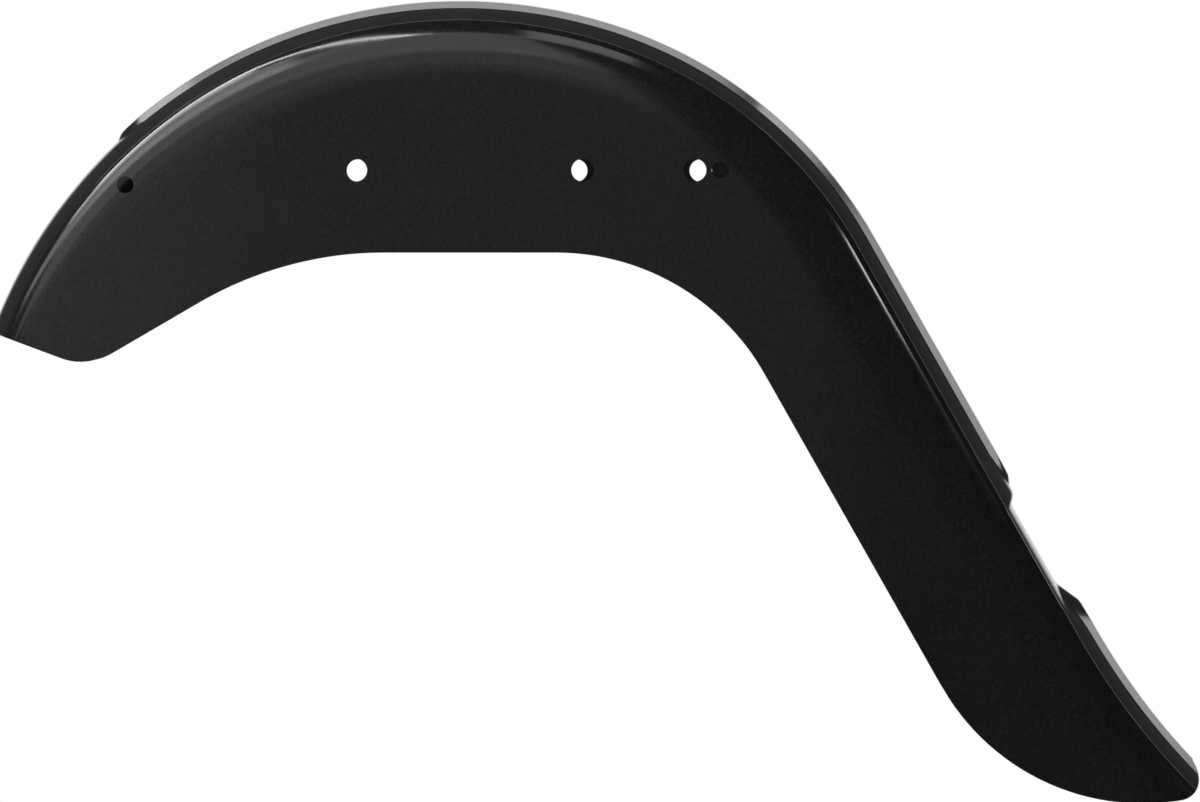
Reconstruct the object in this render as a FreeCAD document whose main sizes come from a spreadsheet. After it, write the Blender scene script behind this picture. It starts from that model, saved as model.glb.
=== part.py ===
"""Rear fender of a motorcycle, pressed from sheet steel in one piece.

Drawn from the side with the centre of the wheel arch at the drawing's origin: X runs
to the rear, Y across the bike, Z up. The sheet is what lies between an outside form
and the same form set in by the sheet's thickness; a side outline trims it, and the
bolt holes are drilled across it. At the end the part's own frame goes to the centre
of its box. Millimetres and degrees.
"""
import FreeCAD
import Part
import Sketcher
import math
import os

Vector = FreeCAD.Vector

SIZES = {
    # Crown line, seen from the side
    "crown_radius": 400.0,
    "rear_crown_radius": 363.0,
    "crown_blend_angle": 17.65,
    "back_slope": 60.46,
    "back_length": 358.0,
    "tail_radius": 557.0,
    # Cross-section
    "outer_width": 190.0,
    "crown_arch_radius": 300.0,
    "shoulder_radius": 18.0,
    "sheet_thickness": 1.6,
    # Raised ridge along the middle of the crown
    "ridge_height": 4.0,
    "ridge_flat_width": 48.0,
    "ridge_flank_angle": 24.0,
    "ridge_front_angle": 38.9,
    "ridge_back_reach": 196.5,
    # Lowered pad for the tail lamp, placed down the straight back
    "pad_start": 242.0,
    "pad_end": 332.0,
    "pad_depth": 6.3,
    "pad_floor_radius": 640.0,
    "pad_upper_angle": 38.0,
    "pad_lower_angle": 12.0,
    # Side outline
    "front_angle": 69.6,
    "front_edge_length": 61.0,
    "front_corner_radius": 43.5,
    "front_rise_angle": 30.25,
    "front_sweep_radius": 298.0,
    "arch_edge_height": 202.5,
    "rear_sweep_radius": 191.0,
    "back_skirt_depth": 126.7,
    "tail_edge_radius": 184.0,
    "tail_tip_radius": 17.0,
    "tail_run": 86.3,
    "tail_fall": 139.4,
    # Bolt holes
    "strut_hole_diameter": 18.0,
    "small_hole_diameter": 13.5,
    "hole_line_height": 268.3,
    "front_hole_x": -83.0,
    "middle_hole_x": 97.8,
    "rear_hole_x": 187.4,
    "right_middle_shift": -5.6,
    "right_rear_shift": 4.8,
    "rear_small_hole_gap": 20.0,
    "front_small_hole_angle": 46.13,
    "front_small_hole_depth": 29.6,
}


def make_sheet(doc):
    """The driving sizes, one named cell each."""
    sheet = doc.addObject("Spreadsheet::Sheet", "sizes")
    for row, (name, value) in enumerate(SIZES.items(), start=1):
        sheet.set(f"A{row}", name)
        sheet.set(f"B{row}", str(value))
        sheet.setAlias(f"B{row}", name)
    doc.recompute()
    return sheet


doc = FreeCAD.newDocument("rear_fender")
sizes = make_sheet(doc)
half_width = sizes.outer_width / 2
# How far a cutting form runs past what it cuts, as a value and for expressions
run_past = sizes.shoulder_radius / 2
RUN_PAST = "sizes.shoulder_radius / 2"


def heading(degrees):
    """Unit vector of a side view direction: 0 to the rear, positive downwards."""
    turn = math.radians(degrees)
    return Vector(math.cos(turn), -math.sin(turn), 0)


def outward(degrees):
    """Unit vector on the outer side of a line with that heading."""
    turn = math.radians(degrees)
    return Vector(math.sin(turn), math.cos(turn), 0)


def arc(centre, radius, first, last):
    """Arc between two headings of its outward direction, first to last."""
    start = math.radians(90 - max(first, last))
    end = math.radians(90 - min(first, last))
    return Part.ArcOfCircle(Part.Circle(centre, Vector(0, 0, 1), radius), start, end)


def line(start, end):
    return Part.LineSegment(start, end)


# Fixed points of the crown line in the side view
wheel = Vector(0, 0, 0)
rear_centre = wheel + outward(sizes.crown_blend_angle) * (sizes.crown_radius - sizes.rear_crown_radius)
back_top = rear_centre + outward(sizes.back_slope) * sizes.rear_crown_radius
back_end = back_top + heading(sizes.back_slope) * sizes.back_length
tail_centre = back_end + outward(sizes.back_slope) * sizes.tail_radius

# Fixed points of the skirt's edge at the tail: centres of its long arc and of the rounded tip
skirt_distance = back_top.dot(outward(sizes.back_slope)) - sizes.back_skirt_depth


def beside_skirt(height, distance):
    """Point at a height and at a distance outward of the back skirt's straight edge."""
    out = outward(sizes.back_slope)
    return Vector((skirt_distance + distance - height * out.y) / out.x, height, 0)


tail_edge = beside_skirt(back_end.y - sizes.tail_fall + sizes.tail_edge_radius, sizes.tail_edge_radius)
tail_reach = back_end.x + sizes.tail_run
tip_arm = sizes.tail_edge_radius - sizes.tail_tip_radius
tip_step = tail_reach - sizes.tail_tip_radius - tail_edge.x
tip = tail_edge + Vector(tip_step, -math.sqrt(tip_arm ** 2 - tip_step ** 2), 0)


def on_back(distance, height):
    """Point at a distance down the straight back and a height off its crown line."""
    return back_top + heading(sizes.back_slope) * distance + outward(sizes.back_slope) * height


def add_sketch(body, name, role, offset=None):
    """Sketch on one of the body's own planes: XZ is the side view, YZ a cross-section."""
    sketch = body.newObject("Sketcher::SketchObject", name)
    plane = next(f for f in body.Origin.OriginFeatures if f.Role == role)
    sketch.AttachmentSupport = [(plane, "")]
    sketch.MapMode = "FlatFace"
    if offset:
        sketch.AttachmentOffset = offset
    return sketch


def end_direction(shape, point):
    """Direction in which a line or arc runs at one of its ends."""
    if isinstance(shape, Part.LineSegment):
        return (shape.EndPoint - shape.StartPoint).normalize()
    spoke = (point - shape.Center).normalize()
    return Vector(-spoke.y, spoke.x, 0)


def draw(sketch, shapes, closed=True):
    """Draw lines and arcs end to end, tangent where one runs smoothly into the next."""
    near = 1e-6
    ids = [sketch.addGeometry(shape, False) for shape in shapes]
    pairs = list(zip(ids, ids[1:]))
    if closed:
        pairs.append((ids[-1], ids[0]))
    for one, two in pairs:
        meets = [
            (p, q)
            for p in (1, 2)
            for q in (1, 2)
            if sketch.getPoint(one, p).distanceToPoint(sketch.getPoint(two, q)) < near
        ]
        p, q = meets[0]
        point = sketch.getPoint(one, p)
        before = end_direction(sketch.Geometry[one], point)
        after = end_direction(sketch.Geometry[two], point)
        smooth = before.cross(after).Length < near
        sketch.addConstraint(Sketcher.Constraint("Tangent" if smooth else "Coincident", one, p, two, q))
    return ids


def bind_radius(sketch, shape, name, expression):
    """Tie an arc's radius to the sheet."""
    value = sketch.Geometry[shape].Radius
    index = sketch.addConstraint(Sketcher.Constraint("Radius", shape, value))
    sketch.renameConstraint(index, name)
    sketch.setExpression(f"Constraints.{name}", expression)


def crown_section(body, inset, inset_text, depth):
    """Closed cross-section under the crown's skin, at the top of the wheel arch."""
    sketch = add_sketch(body, body.Name + "_section", "YZ_Plane")
    arch_centre = Vector(0, sizes.crown_radius - sizes.crown_arch_radius, 0)
    reach = sizes.crown_arch_radius - sizes.shoulder_radius
    offset = half_width - sizes.shoulder_radius
    lean = math.degrees(math.asin(offset / reach))
    side = half_width - inset
    bottom = sizes.crown_radius - depth
    left = arch_centre + outward(-lean) * reach
    right = arch_centre + outward(lean) * reach
    shapes = [
        arc(arch_centre, sizes.crown_arch_radius - inset, -lean, lean),
        arc(right, sizes.shoulder_radius - inset, lean, 90),
        line(Vector(side, right.y, 0), Vector(side, bottom, 0)),
        line(Vector(side, bottom, 0), Vector(-side, bottom, 0)),
        line(Vector(-side, bottom, 0), Vector(-side, left.y, 0)),
        arc(left, sizes.shoulder_radius - inset, -90, -lean),
    ]
    ids = draw(sketch, shapes)
    bind_radius(sketch, ids[0], "arch", f"sizes.crown_arch_radius - {inset_text}")
    bind_radius(sketch, ids[1], "right_shoulder", f"sizes.shoulder_radius - {inset_text}")
    bind_radius(sketch, ids[5], "left_shoulder", f"sizes.shoulder_radius - {inset_text}")
    return sketch


def crown_line(body, name, front_angle, back_length, tail=True):
    """Crown line in the side view, from an angle before the top to the back or the tail."""
    sketch = add_sketch(body, body.Name + name, "XZ_Plane")
    shapes = [
        arc(wheel, sizes.crown_radius, -front_angle, sizes.crown_blend_angle),
        arc(rear_centre, sizes.rear_crown_radius, sizes.crown_blend_angle, sizes.back_slope),
        line(back_top, on_back(back_length, 0)),
    ]
    if tail:
        shapes.append(tail_arc())
    ids = draw(sketch, shapes, closed=False)
    bind_radius(sketch, ids[0], "front_arc", "sizes.crown_radius")
    bind_radius(sketch, ids[1], "rear_arc", "sizes.rear_crown_radius")
    return sketch


def tail_arc():
    """The tail's gentle outward flick, bent the other way from the crown, to just past the tip."""
    to_tip = tip - tail_centre
    past_tip = math.asin((sizes.tail_tip_radius + run_past) / to_tip.Length)
    turn = to_tip.getAngle(back_end - tail_centre) + past_tip
    start = 180 + sizes.back_slope
    return arc(tail_centre, sizes.tail_radius, start - math.degrees(turn), start)


def ridge_half(inset):
    """Half of the ridge's cross-section: radius and lean of its arched top, then its flank's two ends."""
    outer_radius = sizes.crown_arch_radius + sizes.ridge_height
    outer_lean = math.degrees(math.asin(sizes.ridge_flat_width / 2 / outer_radius))
    radius = outer_radius - inset
    down = heading(sizes.ridge_flank_angle)
    flank = outward(outer_lean) * outer_radius - outward(sizes.ridge_flank_angle) * inset
    to_nearest = flank.dot(down)
    half_chord = math.sqrt(to_nearest ** 2 - flank.Length ** 2 + radius ** 2)
    corner = flank - down * (to_nearest + half_chord)
    lean = math.degrees(math.atan2(corner.x, corner.y))
    top_edge = corner - Vector(0, sizes.crown_arch_radius, 0)
    foot_edge = top_edge + down * ((top_edge.y + run_past) / -down.y)
    return radius, lean, top_edge, foot_edge


def ridge_section(body, inset, name, offset=None, base=0.0):
    """Cross-section of the ridge, rooted below the crown's skin."""
    sketch = add_sketch(body, body.Name + name, "YZ_Plane", offset)
    radius, lean, top_edge, foot_edge = ridge_half(inset)
    edges = [(1, top_edge), (1, foot_edge), (-1, foot_edge), (-1, top_edge)]
    corners = [Vector(side * point.x, base + point.y, 0) for side, point in edges]
    top = arc(Vector(0, base - sizes.crown_arch_radius, 0), radius, -lean, lean)
    draw(sketch, [top] + [line(a, b) for a, b in zip(corners, corners[1:])])
    return sketch


def across_back(distance):
    """Place of a cross-section sketch on the straight back, square to it."""
    point = on_back(distance, 0)
    return FreeCAD.Placement(
        Vector(0, point.y, point.x),
        FreeCAD.Rotation(Vector(1, 0, 0), sizes.back_slope),
    )


def add_pipe(body, name, profile, spine):
    pipe = body.newObject("PartDesign::AdditivePipe", body.Name + name)
    pipe.Profile = profile
    pipe.Spine = (spine, [f"Edge{n + 1}" for n in range(len(spine.Geometry))])
    pipe.Mode = "Frenet"
    return pipe


def add_nose(body, name, inset, foot, along, up):
    """Rounded end of the ridge: half its section turned about the crown's normal."""
    sketch = add_sketch(body, body.Name + name + "_half", "XZ_Plane")
    radius, lean, top_edge, foot_edge = ridge_half(inset)

    def place(point):
        return foot + along * point.x + up * point.y

    def on_top(degrees):
        return place(outward(degrees) * radius - Vector(0, sizes.crown_arch_radius, 0))

    root = place(Vector(0, foot_edge.y, 0))
    draw(sketch, [
        Part.Arc(on_top(0), on_top(lean / 2), on_top(lean)),
        line(place(top_edge), place(foot_edge)),
        line(place(foot_edge), root),
        line(root, on_top(0)),
    ])
    sketch.addGeometry(line(root, foot), True)
    nose = body.newObject("PartDesign::Revolution", body.Name + name)
    nose.Profile = sketch
    nose.ReferenceAxis = (sketch, ["Axis0"])
    nose.Angle = 180
    nose.Midplane = True
    return nose


def add_lamp_pad(body, inset):
    """Lowered floor for the tail lamp: a shallow arched cut with a ramp at each end."""
    sketch = add_sketch(body, body.Name + "_pad_side", "XZ_Plane")
    upper = math.radians(sizes.pad_upper_angle)
    lower = math.radians(sizes.pad_lower_angle)
    floor = -sizes.pad_depth - inset
    rim = sizes.ridge_height
    first = sizes.pad_start - inset * math.tan(upper / 2)
    last = sizes.pad_end + inset * math.tan(lower / 2)
    corners = [
        on_back(first - (rim - floor) / math.tan(upper), rim),
        on_back(first, floor),
        on_back(last, floor),
        on_back(last + (rim - floor) / math.tan(lower), rim),
    ]
    draw(sketch, [line(a, b) for a, b in zip(corners, corners[1:] + corners[:1])])
    axis_height = -sizes.pad_depth - sizes.pad_floor_radius
    sketch.addGeometry(line(on_back(first, axis_height), on_back(last, axis_height)), True)
    pad = body.newObject("PartDesign::Groove", body.Name + "_pad")
    pad.Profile = sketch
    pad.ReferenceAxis = (sketch, ["Axis0"])
    pad.setExpression("Angle", f"2 * asin((sizes.outer_width / 2 + {RUN_PAST}) / sizes.pad_floor_radius)")
    pad.Midplane = True
    return pad


def make_form(name, inset, inset_text, spare):
    """Solid with the fender's skin, set in by inset; spare carries it past the sheet's edges."""
    body = doc.addObject("PartDesign::Body", name)
    depth = sizes.crown_radius - sizes.arch_edge_height + run_past + spare
    past_front = math.degrees((run_past + spare) / sizes.crown_radius)
    section = crown_section(body, inset, inset_text, depth)
    spine = crown_line(body, "_crown_line", sizes.front_angle + past_front, sizes.back_length)
    add_pipe(body, "_crown", section, spine)
    doc.recompute()
    add_lamp_pad(body, inset)
    doc.recompute()
    front_ridge = ridge_section(body, inset, "_ridge_section", base=sizes.crown_radius)
    front_line = crown_line(body, "_ridge_line", sizes.ridge_front_angle, sizes.ridge_back_reach, tail=False)
    add_pipe(body, "_ridge", front_ridge, front_line)
    doc.recompute()
    front_up = outward(-sizes.ridge_front_angle)
    forward = heading(-sizes.ridge_front_angle) * -1
    add_nose(body, "_front_nose", inset, front_up * sizes.crown_radius, forward, front_up)
    doc.recompute()
    down = heading(sizes.back_slope)
    out = outward(sizes.back_slope)
    add_nose(body, "_back_nose", inset, on_back(sizes.ridge_back_reach, 0), down, out)
    doc.recompute()
    tail_ridge = ridge_section(body, inset, "_tail_ridge_section", across_back(sizes.back_length))
    tail_line = add_sketch(body, name + "_tail_line", "XZ_Plane")
    draw(tail_line, [tail_arc()], closed=False)
    add_pipe(body, "_tail_ridge", tail_ridge, tail_line)
    doc.recompute()
    add_nose(body, "_tail_nose", inset, back_end, down * -1, out)
    doc.recompute()
    return body


def side_outline():
    """What is kept in the side view: the skirt's edge below, open room above the crown."""
    slope = sizes.back_slope
    out = outward(slope)
    front_slope = 90 - sizes.front_angle
    rise = -sizes.front_rise_angle
    front_tip = outward(-sizes.front_angle) * sizes.crown_radius
    start = front_tip - heading(front_slope) * run_past
    corner_start = front_tip + heading(front_slope) * sizes.front_edge_length
    corner = corner_start + outward(front_slope) * sizes.front_corner_radius
    corner_end = corner - outward(rise) * sizes.front_corner_radius
    sweep_height = sizes.arch_edge_height - sizes.front_sweep_radius
    climb = sweep_height + outward(rise).y * sizes.front_sweep_radius - corner_end.y
    sweep_start = corner_end + heading(rise) * (climb / heading(rise).y)
    sweep = sweep_start - outward(rise) * sizes.front_sweep_radius
    arch_front = Vector(sweep.x, sizes.arch_edge_height, 0)

    rear = beside_skirt(sizes.arch_edge_height - sizes.rear_sweep_radius, -sizes.rear_sweep_radius)
    arch_rear = Vector(rear.x, sizes.arch_edge_height, 0)
    rear_end = rear + out * sizes.rear_sweep_radius

    tail_start = tail_edge - out * sizes.tail_edge_radius
    tip_turn = math.degrees(math.asin(tip_step / tip_arm))
    tip_end = tip + Vector(sizes.tail_tip_radius, 0, 0)

    above = sizes.crown_radius + sizes.ridge_height + run_past
    ahead = -above
    corners = [
        tip_end,
        Vector(tail_reach, above, 0),
        Vector(ahead, above, 0),
        Vector(ahead, start.y, 0),
        start,
    ]
    return [
        line(start, corner_start),
        arc(corner, sizes.front_corner_radius, 180 + front_slope, 180 + rise),
        line(corner_end, sweep_start),
        arc(sweep, sizes.front_sweep_radius, rise, 0),
        line(arch_front, arch_rear),
        arc(rear, sizes.rear_sweep_radius, 0, slope),
        line(rear_end, tail_start),
        arc(tail_edge, sizes.tail_edge_radius, 180 - tip_turn, 180 + slope),
        arc(tip, sizes.tail_tip_radius, 90, 180 - tip_turn),
    ] + [line(a, b) for a, b in zip(corners, corners[1:])]


def make_trim():
    """Block with the side outline, as wide as the fender and a little more."""
    body = doc.addObject("PartDesign::Body", "side_trim")
    sketch = add_sketch(body, "side_outline", "XZ_Plane")
    ids = draw(sketch, side_outline())
    arcs = {1: "front_corner_radius", 3: "front_sweep_radius", 5: "rear_sweep_radius",
            7: "tail_edge_radius", 8: "tail_tip_radius"}
    for index, name in arcs.items():
        bind_radius(sketch, ids[index], name, f"sizes.{name}")
    pad = body.newObject("PartDesign::Pad", "side_block")
    pad.Profile = sketch
    pad.SideType = "Symmetric"
    pad.setExpression("Length", f"sizes.outer_width + 2 * {RUN_PAST}")
    doc.recompute()
    return body


def add_hole(name, diameter, side, x, height="sizes.hole_line_height"):
    """Drill for one bolt hole, through both skirts or through the left or right one alone."""
    drill = doc.addObject("Part::Cylinder", name)
    drill.Placement.Rotation = FreeCAD.Rotation(Vector(1, 0, 0), -90)
    drill.setExpression("Radius", f"sizes.{diameter} / 2")
    left_end = f"-sizes.outer_width / 2 - {RUN_PAST}"
    if side == "both":
        drill.setExpression("Height", f"sizes.outer_width + 2 * {RUN_PAST}")
    else:
        drill.setExpression("Height", "sizes.outer_width / 2")
    drill.setExpression("Placement.Base.x", x)
    drill.setExpression("Placement.Base.y", RUN_PAST if side == "right" else left_end)
    drill.setExpression("Placement.Base.z", height)
    return drill


def make_holes():
    """Strut holes in both skirts, and two small holes that only the left skirt has."""
    strut = "strut_hole_diameter"
    small = "small_hole_diameter"
    middle = "sizes.middle_hole_x"
    rear = "sizes.rear_hole_x"
    spoke = "(sizes.crown_radius - sizes.front_small_hole_depth)"
    angle = "(sizes.front_small_hole_angle * 1 deg)"
    return [
        add_hole("front_strut_hole", strut, "both", "sizes.front_hole_x"),
        add_hole("left_middle_hole", strut, "left", middle),
        add_hole("right_middle_hole", strut, "right", f"{middle} + sizes.right_middle_shift"),
        add_hole("left_rear_hole", strut, "left", rear),
        add_hole("right_rear_hole", strut, "right", f"{rear} + sizes.right_rear_shift"),
        add_hole("rear_small_hole", small, "left", f"{rear} + sizes.rear_small_hole_gap"),
        add_hole("front_small_hole", small, "left", f"-{spoke} * sin({angle})", f"{spoke} * cos({angle})"),
    ]


def make_shell():
    """The finished sheet: outside form less inside form, trimmed and drilled."""
    sheet = doc.addObject("Part::Cut", "sheet")
    sheet.Base = make_form("outside_form", 0.0, "0", 0.0)
    sheet.Tool = make_form("inside_form", sizes.sheet_thickness, "sizes.sheet_thickness", run_past)
    trimmed = doc.addObject("Part::Common", "trimmed_sheet")
    trimmed.Base = sheet
    trimmed.Tool = make_trim()
    drills = doc.addObject("Part::Compound", "drills")
    drills.Links = make_holes()
    drilled = doc.addObject("Part::Cut", "drilled_sheet")
    drilled.Base = trimmed
    drilled.Tool = drills
    doc.recompute()
    shell = doc.addObject("Part::Feature", "fender_shell")
    shell.Shape = drilled.Shape.copy()
    box = drilled.Shape.optimalBoundingBox()
    shell.Placement = FreeCAD.Placement(box.Center * -1, FreeCAD.Rotation())
    shell.Label = "fender_shell"
    return shell


def check(parts):
    """Stop if any object failed to build or a part's solid isn't sound."""
    for item in doc.Objects:
        if "Invalid" in item.State or "Error" in item.State:
            raise RuntimeError(f"{item.Label} failed to build")
    for part in parts:
        if part.Shape.isNull() or not part.Shape.isValid() or len(part.Shape.Solids) != 1:
            raise RuntimeError(f"{part.Label} isn't one sound solid")


parts = [make_shell()]
doc.recompute()
check(parts)
os.makedirs("parts", exist_ok=True)
for part in parts:
    part.Shape.exportStep(os.path.join("parts", part.Label + ".step"))
    print(part.Label, "volume", round(part.Shape.Volume), "mm3, box", part.Shape.optimalBoundingBox())
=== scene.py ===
import math

import bmesh
import bpy
from bpy.props import FloatProperty, FloatVectorProperty, PointerProperty
from mathutils import Matrix, Quaternion, Vector


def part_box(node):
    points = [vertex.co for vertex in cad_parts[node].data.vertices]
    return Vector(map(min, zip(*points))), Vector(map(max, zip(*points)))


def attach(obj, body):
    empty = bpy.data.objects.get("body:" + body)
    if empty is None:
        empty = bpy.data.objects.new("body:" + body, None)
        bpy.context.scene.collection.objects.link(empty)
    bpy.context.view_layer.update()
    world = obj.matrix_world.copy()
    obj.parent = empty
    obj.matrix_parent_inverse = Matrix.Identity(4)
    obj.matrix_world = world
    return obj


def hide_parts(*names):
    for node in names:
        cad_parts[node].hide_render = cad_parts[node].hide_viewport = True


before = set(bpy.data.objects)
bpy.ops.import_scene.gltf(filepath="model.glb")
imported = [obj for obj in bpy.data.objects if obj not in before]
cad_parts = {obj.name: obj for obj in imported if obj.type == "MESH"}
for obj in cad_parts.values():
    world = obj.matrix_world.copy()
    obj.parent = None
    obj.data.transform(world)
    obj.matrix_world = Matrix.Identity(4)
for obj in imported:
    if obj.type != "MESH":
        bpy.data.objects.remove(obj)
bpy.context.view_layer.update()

LOW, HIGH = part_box("fender_shell")

bl_info = {
    "name": "Rear fender",
    "version": (1, 0, 0),
    "blender": (4, 5, 0),
    "location": "View3D > Sidebar > Fender",
    "description": "Pressed steel rear fender with a black electrocoat, on a pale studio floor",
    "category": "Object",
}

MM = 0.001
BISECTIONS = 40
MERGE_DISTANCE = 1e-6

# Columns of the crown: how far past the ridge's corner each run of them ends, in millimetres, and
# how many it has. They crowd at the corner and at the flank's foot; the last run ends at the crease.
CROWN_STEPS = ((-6, 4), (-0.6, 3), (0.6, 3), (10.8, 6), (12.4, 3), (None, 11))
# Columns of crease, shoulder, flank and lead, and of the flat skirt, which crowd towards its edge.
BEND_STEPS = (3, 5, 6, 5)
SKIRT_STEPS = 22
EDGE_CROWDING = 0.92

# Rows along the fender: around the front corner, at two spacings along the crown, and in the tail.
CORNER_STEPS = 9
WIDE_ROW_MM = 7
CLOSE_ROW_MM = 2.5
TAIL_STEPS = 72

# The round tip trims the sheet up to this slope over its centre. Its upper half is drawn taller,
# so that it meets the crest of the tail's ridge.
TIP_CREST_SLOPE = 1.15
TIP_CREST_SQUASH = 0.87

HOLE_SEGMENTS = 64
HOLE_CUTTER_MM = 20
ROUNDING_SEGMENTS = 2
ROUNDING_FROM = math.radians(55)


def length(name, millimetres, description):
    """A length as a property, written in millimetres and kept in metres."""
    return FloatProperty(
        name=name, description=description, default=millimetres * MM, precision=4,
        subtype="DISTANCE", unit="LENGTH",
    )


def angle(name, degrees, description):
    """An angle as a property, written in degrees and kept in radians."""
    return FloatProperty(
        name=name, description=description, default=math.radians(degrees),
        subtype="ANGLE", unit="ROTATION",
    )


def share(name, value, description):
    """A number from 0 to 1 as a property."""
    return FloatProperty(
        name=name, description=description, default=value, min=0.0, max=1.0, subtype="FACTOR",
    )


def linear(code):
    """Linear colour of an sRGB hex value."""
    channels = [int(code[i:i + 2], 16) / 255 for i in (1, 3, 5)]
    return [c / 12.92 if c <= 0.04045 else ((c + 0.055) / 1.055) ** 2.4 for c in channels]


def colour(name, code, description):
    """A colour as a property, written as an sRGB hex value."""
    return FloatVectorProperty(
        name=name, description=description, default=linear(code), size=3,
        min=0.0, max=1.0, subtype="COLOR",
    )


class FenderSizes(bpy.types.PropertyGroup):
    """Sizes of the pressed sheet."""

    crown_radius: length("Crown radius", 400, "Arc of the crown line over the wheel")
    rear_crown_radius: length("Rear crown radius", 363, "Arc of the crown line behind the top")
    crown_blend_angle: angle("Crown blend", 17.65, "Where the two crown arcs meet, from the top")
    back_slope: angle("Back slope", 60.46, "How steeply the straight back falls")
    back_length: length("Back length", 358, "Straight run of the back")
    tail_radius: length("Tail radius", 557, "Outward bend of the tail")

    outer_width: length("Outer width", 190, "Over both skirts")
    crown_arch_radius: length("Crown arch", 300, "Arch of the crown across the fender")
    crease_radius: length("Crease radius", 1.5, "Tight bend where the shoulder leaves the crown")
    crease_angle: angle("Crease angle", 35, "Fall of the sheet at the end of that bend")
    shoulder_radius: length("Shoulder radius", 15, "Bend between crown and skirt")
    shoulder_angle: angle("Shoulder angle", 60, "Fall of the sheet at the end of that bend")
    flank_radius: length("Flank radius", 42, "Easier bend below the shoulder")
    flank_angle: angle("Flank angle", 81, "Fall of the sheet at the end of that bend")
    lead_radius: length("Lead radius", 160, "Slack bend that runs out into the skirt")
    sheet_thickness: length("Sheet thickness", 1.6, "Thickness of the pressed steel")
    edge_rounding: length("Edge rounding", 0.35, "Rounding of the cut edges under the coat")

    ridge_height: length("Ridge height", 4, "Raised ridge over the crown line")
    ridge_flat_width: length("Ridge width", 48, "Top of the ridge between its flanks")
    ridge_flank_angle: angle("Ridge flank", 24, "Fall of the ridge's flanks")
    ridge_front_angle: angle("Ridge front", 38.9, "Where the front nose is centred, ahead of the top")
    ridge_back_reach: length("Ridge reach", 196.5, "Where the back nose is centred, down the back")
    press_softness: length("Press softness", 1.3, "How far the lamp pad's creases are rounded off")
    ridge_softness: length("Ridge softness", 0.12, "How far the ridge's creases are rounded off")

    pad_start: length("Pad start", 242, "Upper end of the lamp pad, down the back")
    pad_end: length("Pad end", 332, "Lower end of the lamp pad, down the back")
    pad_depth: length("Pad depth", 6.3, "Lamp pad below the crown line")
    pad_floor_radius: length("Pad arch", 640, "Arch of the lamp pad across the fender")
    pad_upper_angle: angle("Pad upper ramp", 38, "Ramp at the pad's upper end")
    pad_lower_angle: angle("Pad lower ramp", 12, "Ramp at the pad's lower end")

    front_angle: angle("Front angle", 69.6, "Where the front edge lies, ahead of the top")
    front_edge_length: length("Front edge", 61, "Straight part of the front edge")
    front_corner_radius: length("Front corner", 43.5, "Rounded corner of the front edge")
    front_rise_angle: angle("Front rise", 30.25, "Climb of the skirt's edge behind the corner")
    front_sweep_radius: length("Front sweep", 298, "Sweep from the rise into the arch edge")
    arch_edge_height: length("Arch edge", 202.5, "Level edge over the wheel's centre")
    rear_sweep_radius: length("Rear sweep", 191, "Sweep from the arch edge down the back")
    back_skirt_depth: length("Back skirt", 126.7, "Depth of the skirt along the back")
    tail_edge_radius: length("Tail edge", 184, "Long round edge of the tail")
    tail_tip_radius: length("Tail tip", 17, "Round tip of the tail")
    tail_run: length("Tail run", 86.3, "Tail's end behind the straight back")
    tail_fall: length("Tail fall", 139.4, "Tail's edge below the straight back")

    strut_hole_diameter: length("Strut holes", 18, "Large bolt holes in both skirts")
    small_hole_diameter: length("Small holes", 13.5, "Small holes in the left skirt")
    hole_line_height: length("Hole line", 268.3, "Bolt holes over the wheel's centre")
    front_hole_x: length("Front hole", -83, "Front strut hole behind the wheel's centre")
    middle_hole_x: length("Middle hole", 97.8, "Middle strut hole behind the wheel's centre")
    rear_hole_x: length("Rear hole", 187.4, "Rear strut hole behind the wheel's centre")
    right_middle_shift: length("Right middle shift", -5.6, "Right middle hole against the left one")
    right_rear_shift: length("Right rear shift", 4.8, "Right rear hole against the left one")
    rear_small_hole_gap: length("Small hole gap", 20, "Rear small hole behind the rear strut hole")
    front_small_hole_angle: angle("Small hole angle", 46.13, "Front small hole, ahead of the top")
    front_small_hole_depth: length("Small hole depth", 29.6, "Front small hole below the crown")


class FenderFinish(bpy.types.PropertyGroup):
    """Look of the coat."""

    coat: colour("Coat", "#0c0c0d", "Black electrocoat")
    coat_thin: colour("Thin coat", "#202021", "Coat where it lies thinner")
    gloss: share("Roughness", 0.13, "Roughness of the cured coat")


class StudioSizes(bpy.types.PropertyGroup):
    """Stage, camera and light."""

    floor: colour("Floor", "#ecebe8", "Pale studio paper")
    floor_drop: length("Floor drop", 250, "Floor below the fender")
    floor_radius: length("Floor radius", 6000, "Reach of the floor")
    lens: FloatProperty(
        name="Lens", description="Long lens of a side view", default=1000.0, unit="CAMERA",
    )
    view_width: length("View width", 960, "What the picture's width takes in at the fender")
    view_shift: length("View shift", 4, "Picture's centre behind the box's centre")
    view_azimuth: angle("View azimuth", 0.1, "Camera's turn towards the tail")
    view_elevation: angle("View elevation", 0.3, "Camera's height over level")


def heading(turn):
    """Direction along the crown line where it has turned this far down from level."""
    return Vector((math.cos(turn), 0, -math.sin(turn)))


def outward(turn):
    """Direction off the crown where its line has turned this far down from level."""
    return Vector((math.sin(turn), 0, math.cos(turn)))


def soft_max(a, b, softness):
    """The larger of two heights, with the crease between them rounded off."""
    overlap = max(softness - abs(a - b), 0.0)
    return max(a, b) + overlap * overlap / (4 * softness)


def soft_min(a, b, softness):
    """The smaller of two heights, with the crease between them rounded off."""
    return -soft_max(-a, -b, softness)


def sag(radius, across):
    """How far an arc has fallen this far from its top."""
    return radius - math.sqrt(radius * radius - across * across)


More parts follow.
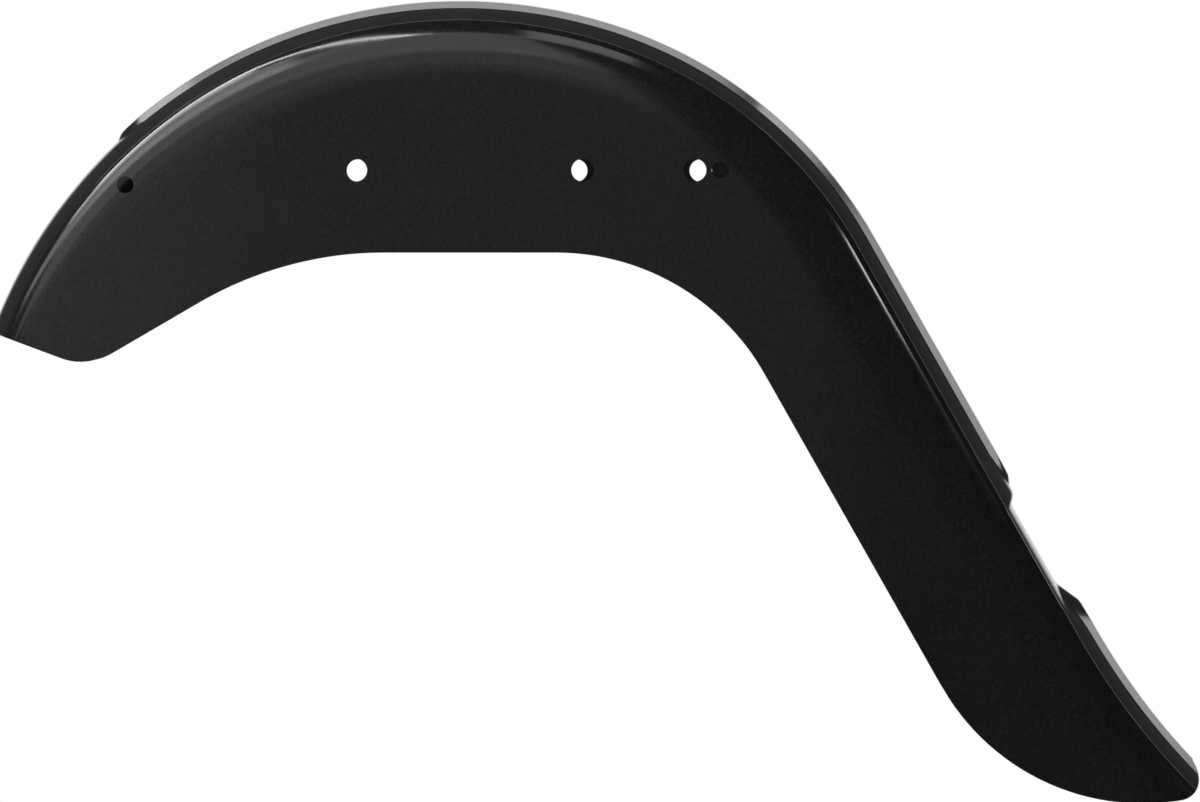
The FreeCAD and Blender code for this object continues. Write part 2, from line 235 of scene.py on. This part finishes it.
class Form:
    """Crown line, section and side outline, worked out from the sizes.

    A station is a distance along the crown line from its top, larger towards the tail.
    """

    def __init__(self, sizes):
        self.sizes = sizes
        slope = sizes.back_slope
        blend = sizes.crown_blend_angle
        self.out = outward(slope)
        self.blend_at = sizes.crown_radius * blend
        self.back_at = self.blend_at + sizes.rear_crown_radius * (slope - blend)
        self.tail_at = self.back_at + sizes.back_length
        self.wheel = Vector((0, 0, HIGH.z - sizes.crown_radius - sizes.ridge_height))
        self.place_wheel()
        self.front_at = -sizes.crown_radius * sizes.front_angle
        self.nose_at = -sizes.crown_radius * sizes.ridge_front_angle
        self.outline()
        self.section()

    def place_wheel(self):
        """Wheel centre, so that the tail's end meets the frame's box."""
        self.crown_points()
        self.wheel.x = HIGH.x - self.back_end.x - self.sizes.tail_run
        self.crown_points()

    def crown_points(self):
        """Centres and joints of the crown line."""
        sizes = self.sizes
        slope = sizes.back_slope
        step = sizes.crown_radius - sizes.rear_crown_radius
        self.rear_centre = self.wheel + outward(sizes.crown_blend_angle) * step
        self.back_top = self.rear_centre + self.out * sizes.rear_crown_radius
        self.back_end = self.back_top + heading(slope) * sizes.back_length
        self.tail_centre = self.back_end + self.out * sizes.tail_radius

    def outline(self):
        """Arcs and lines of the skirt's lower edge."""
        sizes = self.sizes
        slope = sizes.back_slope
        rise = -sizes.front_rise_angle
        front_slope = math.pi / 2 - sizes.front_angle
        front_tip = self.wheel + outward(-sizes.front_angle) * sizes.crown_radius
        corner_start = front_tip + heading(front_slope) * sizes.front_edge_length
        self.corner = corner_start + outward(front_slope) * sizes.front_corner_radius
        self.corner_end = self.corner - outward(rise) * sizes.front_corner_radius
        self.corner_turn = front_slope - rise
        self.arch_z = self.wheel.z + sizes.arch_edge_height
        sweep_z = self.arch_z - sizes.front_sweep_radius
        climb = sweep_z + outward(rise).z * sizes.front_sweep_radius - self.corner_end.z
        self.sweep_start = self.corner_end + heading(rise) * (climb / heading(rise).z)
        self.sweep = self.sweep_start - outward(rise) * sizes.front_sweep_radius
        self.skirt_line = self.back_end.dot(self.out) - sizes.back_skirt_depth
        rear_z = self.arch_z - sizes.rear_sweep_radius
        self.rear = self.beside_skirt(rear_z, -sizes.rear_sweep_radius)
        self.rear_end = self.rear + self.out * sizes.rear_sweep_radius

        tail_z = self.back_end.z - sizes.tail_fall + sizes.tail_edge_radius
        self.tail_edge = self.beside_skirt(tail_z, sizes.tail_edge_radius)
        self.tail_reach = self.back_end.x + sizes.tail_run
        arm = sizes.tail_edge_radius - sizes.tail_tip_radius
        step = self.tail_reach - sizes.tail_tip_radius - self.tail_edge.x
        self.to_tip = Vector((step, 0, -math.sqrt(arm * arm - step * step)))
        self.tip = self.tail_edge + self.to_tip
        tail_start = self.tail_edge - self.out * sizes.tail_edge_radius
        self.tail_start_at = self.back_at + (tail_start - self.back_top).dot(heading(slope))

    def beside_skirt(self, height, distance):
        """Point at a height and at a distance outward of the back skirt's straight edge."""
        x = (self.skirt_line + distance - height * self.out.z) / self.out.x
        return Vector((x, 0, height))

    def section(self):
        """Bends from the crown's arch to the flat skirt, and where that begins, across and down."""
        sizes = self.sizes
        crown = sizes.crown_arch_radius
        self.half_width = sizes.outer_width / 2
        falls = (sizes.crease_angle, sizes.shoulder_angle, sizes.flank_angle, math.pi / 2)
        radii = (sizes.crease_radius, sizes.shoulder_radius, sizes.flank_radius, sizes.lead_radius)
        across = radii[0] * math.sin(falls[0])
        down = -radii[0] * math.cos(falls[0])
        for radius, start, end in zip(radii[1:], falls, falls[1:]):
            across += radius * (math.sin(end) - math.sin(start))
            down += radius * (math.cos(start) - math.cos(end))
        self.lean = math.asin((self.half_width - across) / (crown - radii[0]))
        self.skirt_top = crown - (crown - radii[0]) * math.cos(self.lean) + down
        starts = (self.lean, *falls)
        self.bends = [(radii[i], falls[i] - starts[i], BEND_STEPS[i]) for i in range(len(radii))]

    def station(self, at):
        """Point of the crown line and how far the line has turned there."""
        sizes = self.sizes
        if at < self.blend_at:
            turn = at / sizes.crown_radius
            return self.wheel + outward(turn) * sizes.crown_radius, turn
        if at < self.back_at:
            turn = sizes.crown_blend_angle + (at - self.blend_at) / sizes.rear_crown_radius
            return self.rear_centre + outward(turn) * sizes.rear_crown_radius, turn
        if at < self.tail_at:
            return self.back_top + heading(sizes.back_slope) * (at - self.back_at), sizes.back_slope
        turn = sizes.back_slope - (at - self.tail_at) / sizes.tail_radius
        return self.tail_centre - outward(turn) * sizes.tail_radius, turn

    def bend_centre(self, at):
        """Centre of the crown line's bend at a station, or None on the straight back."""
        if at < self.blend_at:
            return self.wheel
        if at < self.back_at:
            return self.rear_centre
        if at < self.tail_at:
            return None
        return self.tail_centre

    def place(self, at, across, height):
        """Point at a station, a distance across and a height off the crown line."""
        point, turn = self.station(at)
        return point + outward(turn) * height + Vector((0, across, 0))

    def edge_height(self, x):
        """Height of the skirt's lower edge, ahead of the tail."""
        sizes = self.sizes
        if x < self.corner_end.x:
            reach = min(abs(x - self.corner.x), sizes.front_corner_radius)
            return self.corner.z - math.sqrt(sizes.front_corner_radius ** 2 - reach * reach)
        if x < self.sweep_start.x:
            return self.corner_end.z + (x - self.corner_end.x) * math.tan(sizes.front_rise_angle)
        if x < self.sweep.x:
            return self.sweep.z + math.sqrt(sizes.front_sweep_radius ** 2 - (x - self.sweep.x) ** 2)
        if x < self.rear.x:
            return self.arch_z
        if x < self.rear_end.x:
            return self.rear.z + math.sqrt(sizes.rear_sweep_radius ** 2 - (x - self.rear.x) ** 2)
        return (self.skirt_line - self.out.x * x) / self.out.z

    def skirt_depth(self, at):
        """Depth of the skirt's lower edge below the crown line at a station."""
        if at <= self.front_at:
            return self.sizes.front_edge_length
        inside = self.skirt_top
        outside = self.sizes.crown_radius
        for _ in range(BISECTIONS):
            middle = (inside + outside) / 2
            point = self.place(at, 0, -middle)
            if point.z > self.edge_height(point.x):
                inside = middle
            else:
                outside = middle
        return inside

    def past_tail(self, point):
        """Whether a point lies outside the tail's round edge, tip or end."""
        sizes = self.sizes
        from_edge = Vector((point.x - self.tail_edge.x, 0, point.z - self.tail_edge.z))
        from_tip = Vector((point.x - self.tip.x, 0, point.z - self.tip.z))
        beyond = from_tip.x * self.to_tip.z - from_tip.z * self.to_tip.x < 0
        if beyond and from_tip.z < from_tip.x * TIP_CREST_SLOPE:
            from_tip.z = min(from_tip.z, from_tip.z * TIP_CREST_SQUASH)
            return from_tip.length > sizes.tail_tip_radius
        return point.x > self.tail_reach or from_edge.length > sizes.tail_edge_radius

    def tail_stop(self, across, height_at):
        """Station at which a line along the sheet runs into the tail's outline."""
        inside = self.tail_start_at
        outside = self.tail_at + 2 * self.sizes.tail_run + self.sizes.tail_tip_radius
        for _ in range(BISECTIONS):
            middle = (inside + outside) / 2
            if self.past_tail(self.place(middle, across, height_at(middle))):
                outside = middle
            else:
                inside = middle
        return inside

    def ridge(self, off_axis):
        """Height of the raised ridge at a distance from its axis or from a nose's centre."""
        sizes = self.sizes
        radius = sizes.crown_arch_radius + sizes.ridge_height
        edge = sizes.ridge_flat_width / 2
        if off_axis > 2 * edge:
            return -radius
        top = sizes.ridge_height - sag(radius, off_axis)
        edge_top = sizes.ridge_height - sag(radius, edge)
        flank = edge_top - (off_axis - edge) * math.tan(sizes.ridge_flank_angle)
        return soft_min(top, flank, sizes.ridge_softness)

    def relief(self, at, across, plain):
        """Height of the pressed crown, from its plain height, with lamp pad and ridges."""
        sizes = self.sizes
        along = at - self.back_at
        floor = -sizes.pad_depth - sag(sizes.pad_floor_radius, across)
        upper = floor + (sizes.pad_start - along) * math.tan(sizes.pad_upper_angle)
        lower = floor + (along - sizes.pad_end) * math.tan(sizes.pad_lower_angle)
        pad = soft_max(soft_max(floor, upper, sizes.press_softness), lower, sizes.press_softness)
        crown = soft_min(plain, pad, sizes.press_softness)
        past_front = min(at - self.nose_at, 0)
        past_back = max(along - sizes.ridge_back_reach, 0)
        short_of_tail = min(at - self.tail_at, 0)
        main_ridge = self.ridge(math.hypot(past_front + past_back, across))
        tail_ridge = self.ridge(math.hypot(short_of_tail, across))
        return soft_max(crown, max(main_ridge, tail_ridge), sizes.ridge_softness)


class Sheet:
    """Half of the fender's outside face, swept along the crown line and pressed into shape."""

    def __init__(self, form):
        self.form = form
        self.bm = bmesh.new()
        self.row = self.bm.verts.layers.int.new("row")
        self.column = self.bm.verts.layers.int.new("column")
        self.stations = self.list_stations()
        self.columns = []
        edges = self.draw_section()
        self.sweep(edges)
        self.press()

    def list_stations(self):
        """Stations of the swept rows: closer together at the corner, noses and pad."""
        form = self.form
        sizes = form.sizes
        rows = [form.front_at]
        for i in range(1, CORNER_STEPS + 1):
            turn = form.corner_turn * i / CORNER_STEPS
            drop = sizes.front_edge_length + sizes.front_corner_radius * math.sin(turn)
            step = sizes.front_corner_radius * (1 - math.cos(turn))
            corner_turn = math.atan2(step, sizes.crown_radius - drop)
            rows.append(form.front_at + sizes.crown_radius * corner_turn)
        before_nose = sizes.ridge_flat_width
        behind_nose = before_nose / 4
        back_nose_at = form.back_at + sizes.ridge_back_reach
        spans = (
            (form.nose_at - before_nose, WIDE_ROW_MM),
            (form.nose_at + behind_nose, CLOSE_ROW_MM),
            (form.blend_at, WIDE_ROW_MM),
            (form.back_at, WIDE_ROW_MM),
            (back_nose_at - behind_nose, WIDE_ROW_MM),
            (form.tail_start_at - sizes.tail_tip_radius, CLOSE_ROW_MM),
        )
        for end, spacing in spans:
            start = rows[-1]
            count = max(1, round((end - start) / (spacing * MM)))
            rows += [start + (end - start) * i / count for i in range(1, count + 1)]
        self.tail_row = len(rows) - 1
        start = rows[-1]
        end = form.tail_stop(0, lambda at: form.relief(at, 0, 0))
        rows += [start + (end - start) * i / TAIL_STEPS for i in range(1, TAIL_STEPS + 1)]
        return rows

    def turn_vertex(self, vert, centre, axis, turn, steps):
        """Spins one vertex into an arc of the section."""
        for _ in range(steps):
            made = bmesh.ops.spin(
                self.bm, geom=[vert], cent=centre, axis=axis, angle=turn / steps, steps=1,
            )
            vert = next(g for g in made["geom_last"] if isinstance(g, bmesh.types.BMVert))
            self.note_column(vert)
        return vert

    def note_column(self, vert):
        """Keeps a section vertex's column, its distance across and its height."""
        point, turn = self.form.station(self.stations[0])
        vert[self.column] = len(self.columns)
        self.columns.append((vert.co.y, (vert.co - point).dot(outward(turn))))

    def draw_section(self):
        """Half section at the front edge, from the middle of the crown to the skirt's edge."""
        form = self.form
        sizes = form.sizes
        point, turn = form.station(self.stations[0])
        axis = heading(turn)
        out = outward(turn)
        vert = self.bm.verts.new(point)
        self.note_column(vert)
        centre = point - out * sizes.crown_arch_radius
        corner = sizes.ridge_flat_width / 2
        done = 0.0
        for past_corner, steps in CROWN_STEPS:
            goal = form.lean
            if past_corner is not None:
                goal = math.asin((corner + past_corner * MM) / sizes.crown_arch_radius)
            vert = self.turn_vertex(vert, centre, axis, goal - done, steps)
            done = goal
        for radius, bend, steps in form.bends:
            centre = vert.co - (vert.co - centre).normalized() * radius
            vert = self.turn_vertex(vert, centre, axis, bend, steps)
        self.skirt_column = len(self.columns)
        drop = (sizes.front_edge_length - form.skirt_top) / SKIRT_STEPS
        for _ in range(SKIRT_STEPS):
            made = bmesh.ops.extrude_vert_indiv(self.bm, verts=[vert])
            vert = made["verts"][0]
            bmesh.ops.translate(self.bm, verts=[vert], vec=-out * drop)
            self.note_column(vert)
        return self.bm.edges[:]

    def sweep(self, edges):
        """Sweeps the section from station to station along the crown line."""
        form = self.form
        verts = self.bm.verts[:]
        for index, (start, end) in enumerate(zip(self.stations, self.stations[1:]), 1):
            centre = form.bend_centre((start + end) / 2)
            near, turn = form.station(start)
            far, far_turn = form.station(end)
            if centre is None:
                made = bmesh.ops.extrude_edge_only(self.bm, edges=edges)["geom"]
                verts = [g for g in made if isinstance(g, bmesh.types.BMVert)]
                bmesh.ops.translate(self.bm, verts=verts, vec=far - near)
            else:
                made = bmesh.ops.spin(
                    self.bm, geom=verts + edges, cent=centre, axis=(0, 1, 0),
                    angle=far_turn - turn, steps=1,
                )["geom_last"]
                verts = [g for g in made if isinstance(g, bmesh.types.BMVert)]
            edges = [g for g in made if isinstance(g, bmesh.types.BMEdge)]
            for vert in verts:
                vert[self.row] = index

    def column_height(self, column, depth):
        """Plain height of a column whose skirt ends at a depth."""
        form = self.form
        if column < self.skirt_column:
            return self.columns[column][1]
        to_edge = 1 - (column - self.skirt_column + 1) / SKIRT_STEPS
        share_down = 1 - to_edge * (EDGE_CROWDING * to_edge + 1 - EDGE_CROWDING)
        return -form.skirt_top - (depth - form.skirt_top) * share_down

    def press(self):
        """Moves the swept vertices: crown to its relief, skirt to its edge, tail to its outline."""
        form = self.form
        depths = [form.skirt_depth(at) for at in self.stations[:self.tail_row + 1]]
        tail_depth = depths[-1]
        begin = self.stations[self.tail_row]
        stops = []
        for column, (across, _) in enumerate(self.columns):
            plain = self.column_height(column, tail_depth)
            stops.append(form.tail_stop(across, lambda at: self.height(at, column, across, plain)))
        for vert in self.bm.verts:
            row = vert[self.row]
            column = vert[self.column]
            across = self.columns[column][0]
            at = self.stations[row]
            depth = depths[min(row, self.tail_row)]
            if row > self.tail_row:
                at = begin + (stops[column] - begin) * (row - self.tail_row) / TAIL_STEPS
            plain = self.column_height(column, depth)
            vert.co = form.place(at, across, self.height(at, column, across, plain))

    def height(self, at, column, across, plain):
        """Height of a column at a station, pressed where it is part of the crown or shoulder."""
        if column < self.skirt_column:
            return self.form.relief(at, across, plain)
        return plain


def add_object(name, bm):
    """Turns a bmesh into an object at the origin."""
    mesh = bpy.data.meshes.new(name)
    bm.to_mesh(mesh)
    bm.free()
    piece = bpy.data.objects.new(name, mesh)
    bpy.context.scene.collection.objects.link(piece)
    return piece


def hole_cutters(form):
    """Round cutters for the bolt holes, as one object."""
    sizes = form.sizes
    side = form.half_width
    large = sizes.strut_hole_diameter / 2
    small = sizes.small_hole_diameter / 2
    level = form.wheel.z + sizes.hole_line_height
    front_reach = sizes.crown_radius - sizes.front_small_hole_depth
    front_small = form.wheel + outward(-sizes.front_small_hole_angle) * front_reach
    left = (
        (large, sizes.front_hole_x),
        (large, sizes.middle_hole_x),
        (large, sizes.rear_hole_x),
        (small, sizes.rear_hole_x + sizes.rear_small_hole_gap),
    )
    right = (
        (large, sizes.front_hole_x),
        (large, sizes.middle_hole_x + sizes.right_middle_shift),
        (large, sizes.rear_hole_x + sizes.right_rear_shift),
    )
    cuts = [(small, Vector((front_small.x, -side, front_small.z)))]
    cuts += [(radius, Vector((form.wheel.x + x, -side, level))) for radius, x in left]
    cuts += [(radius, Vector((form.wheel.x + x, side, level))) for radius, x in right]
    bm = bmesh.new()
    for radius, centre in cuts:
        place = Matrix.Translation(centre) @ Matrix.Rotation(math.pi / 2, 4, "X")
        bmesh.ops.create_cone(
            bm, cap_ends=True, segments=HOLE_SEGMENTS, radius1=radius, radius2=radius,
            depth=HOLE_CUTTER_MM * MM, matrix=place,
        )
    bmesh.ops.recalc_face_normals(bm, faces=bm.faces[:])
    return add_object("hole_cutters", bm)


def finish_modifiers(piece, cutters, sizes):
    """Thickness, holes and rounded edges as modifiers, then made the piece's own mesh."""
    wall = piece.modifiers.new("wall", "SOLIDIFY")
    wall.thickness = sizes.sheet_thickness
    wall.offset = -1
    wall.use_even_offset = True
    holes = piece.modifiers.new("holes", "BOOLEAN")
    holes.object = cutters
    holes.operation = "DIFFERENCE"
    holes.solver = "EXACT"
    rounding = piece.modifiers.new("rounding", "BEVEL")
    rounding.width = sizes.edge_rounding
    rounding.segments = ROUNDING_SEGMENTS
    rounding.limit_method = "ANGLE"
    rounding.angle_limit = ROUNDING_FROM
    rounding.harden_normals = True
    bpy.context.view_layer.update()
    finished = piece.evaluated_get(bpy.context.evaluated_depsgraph_get())
    mesh = bpy.data.meshes.new_from_object(finished)
    piece.modifiers.clear()
    piece.data = mesh
    bpy.data.objects.remove(cutters)


def add_node(tree, kind, links=(), **settings):
    """Adds a node with its settings, and links its inputs to other nodes' outputs."""
    node = tree.nodes.new(kind)
    for name, value in settings.items():
        if hasattr(node, name):
            setattr(node, name, value)
        else:
            node.inputs[name].default_value = value
    for name, source in links:
        tree.links.new(source, node.inputs[name])
    return node


def new_material(name):
    """An empty node material and its tree."""
    material = bpy.data.materials.new(name)
    material.use_nodes = True
    material.node_tree.nodes.clear()
    return material, material.node_tree


def noise(tree, place, size_mm, detail):
    """Noise whose blotches have a real size."""
    scale = 1 / (size_mm * MM)
    node = add_node(
        tree, "ShaderNodeTexNoise", [("Vector", place)], Scale=scale, Detail=detail,
    )
    return node.outputs["Fac"]


def map_range(tree, value, source, target=(0, 1), **settings):
    """Maps a value from one range to another."""
    node = add_node(tree, "ShaderNodeMapRange", [("Value", value)], **settings)
    sockets = ("From Min", "From Max", "To Min", "To Max")
    for name, number in zip(sockets, (*source, *target)):
        node.inputs[name].default_value = number
    return node.outputs["Result"]


# Nearly all of a noise's values lie in this range.
NOISE_RANGE = (0.3, 0.7)

# The colour sockets of a Mix node, which share their names with its other sockets.
MIX_COLOUR_A = 6
MIX_COLOUR_B = 7
MIX_COLOUR_RESULT = 2

# Cathodic electrocoat on pressed steel, dipped and baked: a deep, even black that mirrors the lights
# in clear streaks, with a faint orange peel that frays them. Its real grain is finer than a pixel
# and is drawn coarser here, so that the flat skirts show it. The gloss drifts slowly over the sheet.
ORANGE_PEEL_MM = 2.2
ORANGE_PEEL_HEIGHT_MM = 0.003
GRAIN_MM = 1.8
DRIFT_MM = 70
GLOSS_DRIFT = 0.03


def electrocoat(finish):
    """Black electrocoat over pressed steel."""
    material, tree = new_material("black_electrocoat_on_steel")
    place = add_node(tree, "ShaderNodeTexCoord").outputs["Object"]
    grain = noise(tree, place, GRAIN_MM, 2.0)
    drift = noise(tree, place, DRIFT_MM, 3.0)
    peel = noise(tree, place, ORANGE_PEEL_MM, 1.0)
    speckle = map_range(tree, grain, NOISE_RANGE)
    tone = add_node(tree, "ShaderNodeMix", [("Factor", speckle)], data_type="RGBA")
    tone.inputs[MIX_COLOUR_A].default_value = (*finish.coat, 1)
    tone.inputs[MIX_COLOUR_B].default_value = (*finish.coat_thin, 1)
    gloss_range = (finish.gloss - GLOSS_DRIFT, finish.gloss + GLOSS_DRIFT)
    gloss = map_range(tree, drift, NOISE_RANGE, gloss_range)
    bump = add_node(
        tree, "ShaderNodeBump", [("Height", peel)],
        Strength=1.0, Distance=ORANGE_PEEL_HEIGHT_MM * MM,
    )
    shader = add_node(
        tree, "ShaderNodeBsdfPrincipled",
        [("Base Color", tone.outputs[MIX_COLOUR_RESULT]), ("Roughness", gloss),
         ("Normal", bump.outputs["Normal"])],
        IOR=1.5,
    )
    add_node(tree, "ShaderNodeOutputMaterial", [("Surface", shader.outputs["BSDF"])])
    return material


class FENDER_OT_shell(bpy.types.Operator):
    """Makes the pressed shell with its ridge, lamp pad, skirts and bolt holes"""

    bl_idname = "fender.shell"
    bl_label = "Pressed shell"

    def execute(self, context):
        sizes = context.scene.fender_sizes
        form = Form(sizes)
        bm = Sheet(form).bm
        bmesh.ops.mirror(
            bm, geom=bm.verts[:] + bm.edges[:] + bm.faces[:], matrix=Matrix(),
            merge_dist=MERGE_DISTANCE, axis="Y",
        )
        bmesh.ops.remove_doubles(bm, verts=bm.verts[:], dist=MERGE_DISTANCE)
        bmesh.ops.recalc_face_normals(bm, faces=bm.faces[:])
        top = max(bm.faces, key=lambda face: face.calc_center_median().z)
        if top.normal.z < 0:
            bmesh.ops.reverse_faces(bm, faces=bm.faces[:])
        for face in bm.faces:
            face.smooth = True
        shell = add_object("pressed_shell", bm)
        finish_modifiers(shell, hole_cutters(form), sizes)
        if not shell.data.polygons:
            raise RuntimeError("the pressed shell came out empty")
        shell.data.materials.clear()
        shell.data.materials.append(electrocoat(context.scene.fender_finish))
        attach(shell, "root")
        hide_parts("fender_shell")
        return {"FINISHED"}


# Seamless studio paper: matt and even, so that it takes a soft shadow and mirrors nothing.
# Its real fibres are finer than a pixel and are drawn coarser here.
PAPER_FIBRE_MM = 2.5
PAPER_FIBRE_HEIGHT_MM = 0.1


def studio_paper(tint):
    """Pale studio paper."""
    material, tree = new_material("pale_studio_paper")
    place = add_node(tree, "ShaderNodeTexCoord").outputs["Object"]
    fibre = noise(tree, place, PAPER_FIBRE_MM, 2.0)
    bump = add_node(
        tree, "ShaderNodeBump", [("Height", fibre)],
        Strength=0.2, Distance=PAPER_FIBRE_HEIGHT_MM * MM,
    )
    shader = add_node(
        tree, "ShaderNodeBsdfPrincipled", [("Normal", bump.outputs["Normal"])],
        Roughness=0.9, IOR=1.45,
    )
    shader.inputs["Base Color"].default_value = (*tint, 1)
    add_node(tree, "ShaderNodeOutputMaterial", [("Surface", shader.outputs["BSDF"])])
    return material


FLOOR_SEGMENTS = 128


def studio_floor(studio):
    """Round sheet of paper under the fender."""
    bm = bmesh.new()
    bmesh.ops.create_circle(
        bm, cap_ends=True, segments=FLOOR_SEGMENTS, radius=studio.floor_radius,
        matrix=Matrix.Translation((0, 0, LOW.z - studio.floor_drop)),
    )
    floor = add_object("studio_floor", bm)
    floor.data.materials.append(studio_paper(studio.floor))


# In reflections the backdrop is a white disc straight behind the fender: full up to the first angle
# off that way and gone at the second. The rest of the room is dim.
BACKDROP_REACH = math.radians(9.5)
BACKDROP_END = math.radians(12.5)
ROOM_LEVEL = 0.05


def combine(tree, operation, first, second):
    """Combines two values with a math node."""
    node = add_node(tree, "ShaderNodeMath", [(0, first), (1, second)], operation=operation)
    return node.outputs["Value"]


def studio_world():
    """White to the camera; in reflections a white backdrop behind the fender and a dim room."""
    world = bpy.data.worlds.new("studio")
    bpy.context.scene.world = world
    world.use_nodes = True
    tree = world.node_tree
    tree.nodes.clear()
    way = add_node(tree, "ShaderNodeTexCoord").outputs["Generated"]
    split = add_node(tree, "ShaderNodeSeparateXYZ", [("Vector", way)])
    backdrop = map_range(
        tree, split.outputs["Y"], (math.cos(BACKDROP_END), math.cos(BACKDROP_REACH)),
        interpolation_type="SMOOTHSTEP",
    )
    rays = add_node(tree, "ShaderNodeLightPath").outputs
    mirrored = combine(tree, "MAXIMUM", rays["Is Glossy Ray"], rays["Is Transmission Ray"])
    shown = combine(tree, "MULTIPLY", mirrored, backdrop)
    seen = combine(tree, "MAXIMUM", rays["Is Camera Ray"], shown)
    level = add_node(tree, "ShaderNodeMath", [(0, seen)], operation="MAXIMUM")
    level.inputs[1].default_value = ROOM_LEVEL
    light = add_node(tree, "ShaderNodeBackground", [("Strength", level.outputs["Value"])])
    light.inputs["Color"].default_value = (1, 1, 1, 1)
    add_node(tree, "ShaderNodeOutputWorld", [("Surface", light.outputs["Background"])])


# Soft lights, in metres, with the turn about their own axis in degrees. The key lights draw the
# streaks along the shoulder, right_top and rear_strip carry them on down the back, the ceiling and
# wall light the ridge's flanks, and the fills give the flat skirt its slow fade to the tail.
SOFTBOXES = (
    # name, place, aim, width, height, turn, radiance
    ("key_core", (-1.27, -0.22, 1.35), (-1.27, -0.22, 0.0), 0.95, 0.2, 0, 18.0),
    ("key", (-1.45, -0.55, 1.35), (-1.45, -0.55, 0.0), 1.3, 0.46, 0, 8.0),
    ("key_low", (-1.93, -1.25, 1.35), (-1.93, -1.25, 0.0), 2.55, 0.95, 0, 2.8),
    ("key_edge", (-0.56, -0.68, 1.35), (-0.56, -0.68, 0.0), 1.24, 0.09, -62, 17.0),
    ("right_top", (0.26, -0.90, 1.30), (0.26, -0.90, 0.0), 0.36, 0.60, 0, 2.0),
    ("rear_strip", (1.30, -0.81, 0.72), (0.22, -0.09, 0.11), 0.12, 0.12, 0, 16.0),
    ("ceiling", (0.0, 1.02, 1.45), (0.0, 1.02, 0.0), 2.2, 0.55, 0, 2.2),
    ("ceiling_left", (-1.5, 1.25, 1.45), (-1.5, 1.25, 0.0), 0.8, 0.95, 0, 3.2),
    ("ceiling_right", (1.5, 1.25, 1.45), (1.5, 1.25, 0.0), 0.8, 0.95, 0, 2.6),
    ("wall_right", (1.9, 1.35, 0.45), (0.0, 1.35, 0.45), 0.95, 2.0, 0, 2.2),
    ("fill_left", (-0.97, -2.4, 0.0), (-0.97, 0.0, 0.0), 1.26, 1.4, 0, 0.21),
    ("fill_wide", (-0.69, -2.42, 0.0), (-0.69, 0.0, 0.0), 1.82, 1.4, 0, 0.17),
    ("fill_low", (-1.0, -2.4, 0.65), (-1.0, 0.0, 0.65), 2.45, 0.5, 0, 0.2),
    ("fill_mid", (-1.0, -2.41, 0.8), (-1.0, 0.0, 0.8), 2.45, 0.4, 0, 0.35),
    ("fill_top", (-1.4, -2.4, 1.75), (-1.4, 0.0, 1.75), 3.25, 1.7, 0, 1.15),
)


def studio_lights(scene):
    """Soft lights of one radiance each, whatever their size."""
    for name, place, aim, width, height, turn, radiance in SOFTBOXES:
        light = bpy.data.lights.new(name, "AREA")
        light.shape = "RECTANGLE"
        light.size = width
        light.size_y = height
        light.energy = radiance * math.pi * width * height
        lamp = bpy.data.objects.new(name, light)
        lamp.location = place
        facing = (Vector(aim) - Vector(place)).to_track_quat("-Z", "Y")
        lamp.rotation_euler = (facing @ Quaternion((0, 0, 1), math.radians(turn))).to_euler()
        scene.collection.objects.link(lamp)


CAMERA_REACH = 200


def side_view(scene, studio):
    """Camera square to the fender's left side, far off with a long lens."""
    camera = bpy.data.cameras.new("side_view")
    camera.lens = studio.lens
    camera.clip_end = CAMERA_REACH
    distance = studio.view_width * studio.lens / camera.sensor_width
    target = (LOW + HIGH) / 2 + Vector((studio.view_shift, 0, 0))
    azimuth, elevation = studio.view_azimuth, studio.view_elevation
    way = Vector((
        math.sin(azimuth) * math.cos(elevation),
        -math.cos(azimuth) * math.cos(elevation),
        math.sin(elevation),
    ))
    stand = bpy.data.objects.new("side_view", camera)
    stand.location = target + way * distance
    stand.rotation_euler = (-way).to_track_quat("-Z", "Y").to_euler()
    scene.collection.objects.link(stand)
    scene.camera = stand


class FENDER_OT_stage(bpy.types.Operator):
    """Sets the floor, the light and the camera"""

    bl_idname = "fender.stage"
    bl_label = "Studio stage"

    def execute(self, context):
        scene = context.scene
        studio_floor(scene.fender_studio)
        studio_world()
        studio_lights(scene)
        side_view(scene, scene.fender_studio)
        scene.view_settings.view_transform = "Standard"
        return {"FINISHED"}


class FENDER_PT_panel(bpy.types.Panel):
    """Lists the fender's pieces and the stage"""

    bl_idname = "FENDER_PT_panel"
    bl_label = "Rear fender"
    bl_space_type = "VIEW_3D"
    bl_region_type = "UI"
    bl_category = "Fender"

    def draw(self, context):
        layout = self.layout
        for operator in OPERATORS:
            layout.operator(operator.bl_idname)
        for name, group in GROUPS.items():
            box = layout.box()
            for prop in group.__annotations__:
                box.prop(getattr(context.scene, name), prop)


OPERATORS = (FENDER_OT_shell, FENDER_OT_stage)
GROUPS = {"fender_sizes": FenderSizes, "fender_finish": FenderFinish, "fender_studio": StudioSizes}
CLASSES = (*GROUPS.values(), *OPERATORS, FENDER_PT_panel)


def register():
    """Registers the classes and the scene's properties."""
    for item in CLASSES:
        bpy.utils.register_class(item)
    for name, group in GROUPS.items():
        setattr(bpy.types.Scene, name, PointerProperty(type=group))


def unregister():
    """Takes the properties and the classes away again."""
    for name in GROUPS:
        delattr(bpy.types.Scene, name)
    for item in reversed(CLASSES):
        bpy.utils.unregister_class(item)


def main():
    """Makes the fender and its stage."""
    register()
    bpy.ops.fender.shell()
    bpy.ops.fender.stage()


if __name__ == "__main__":
    main()
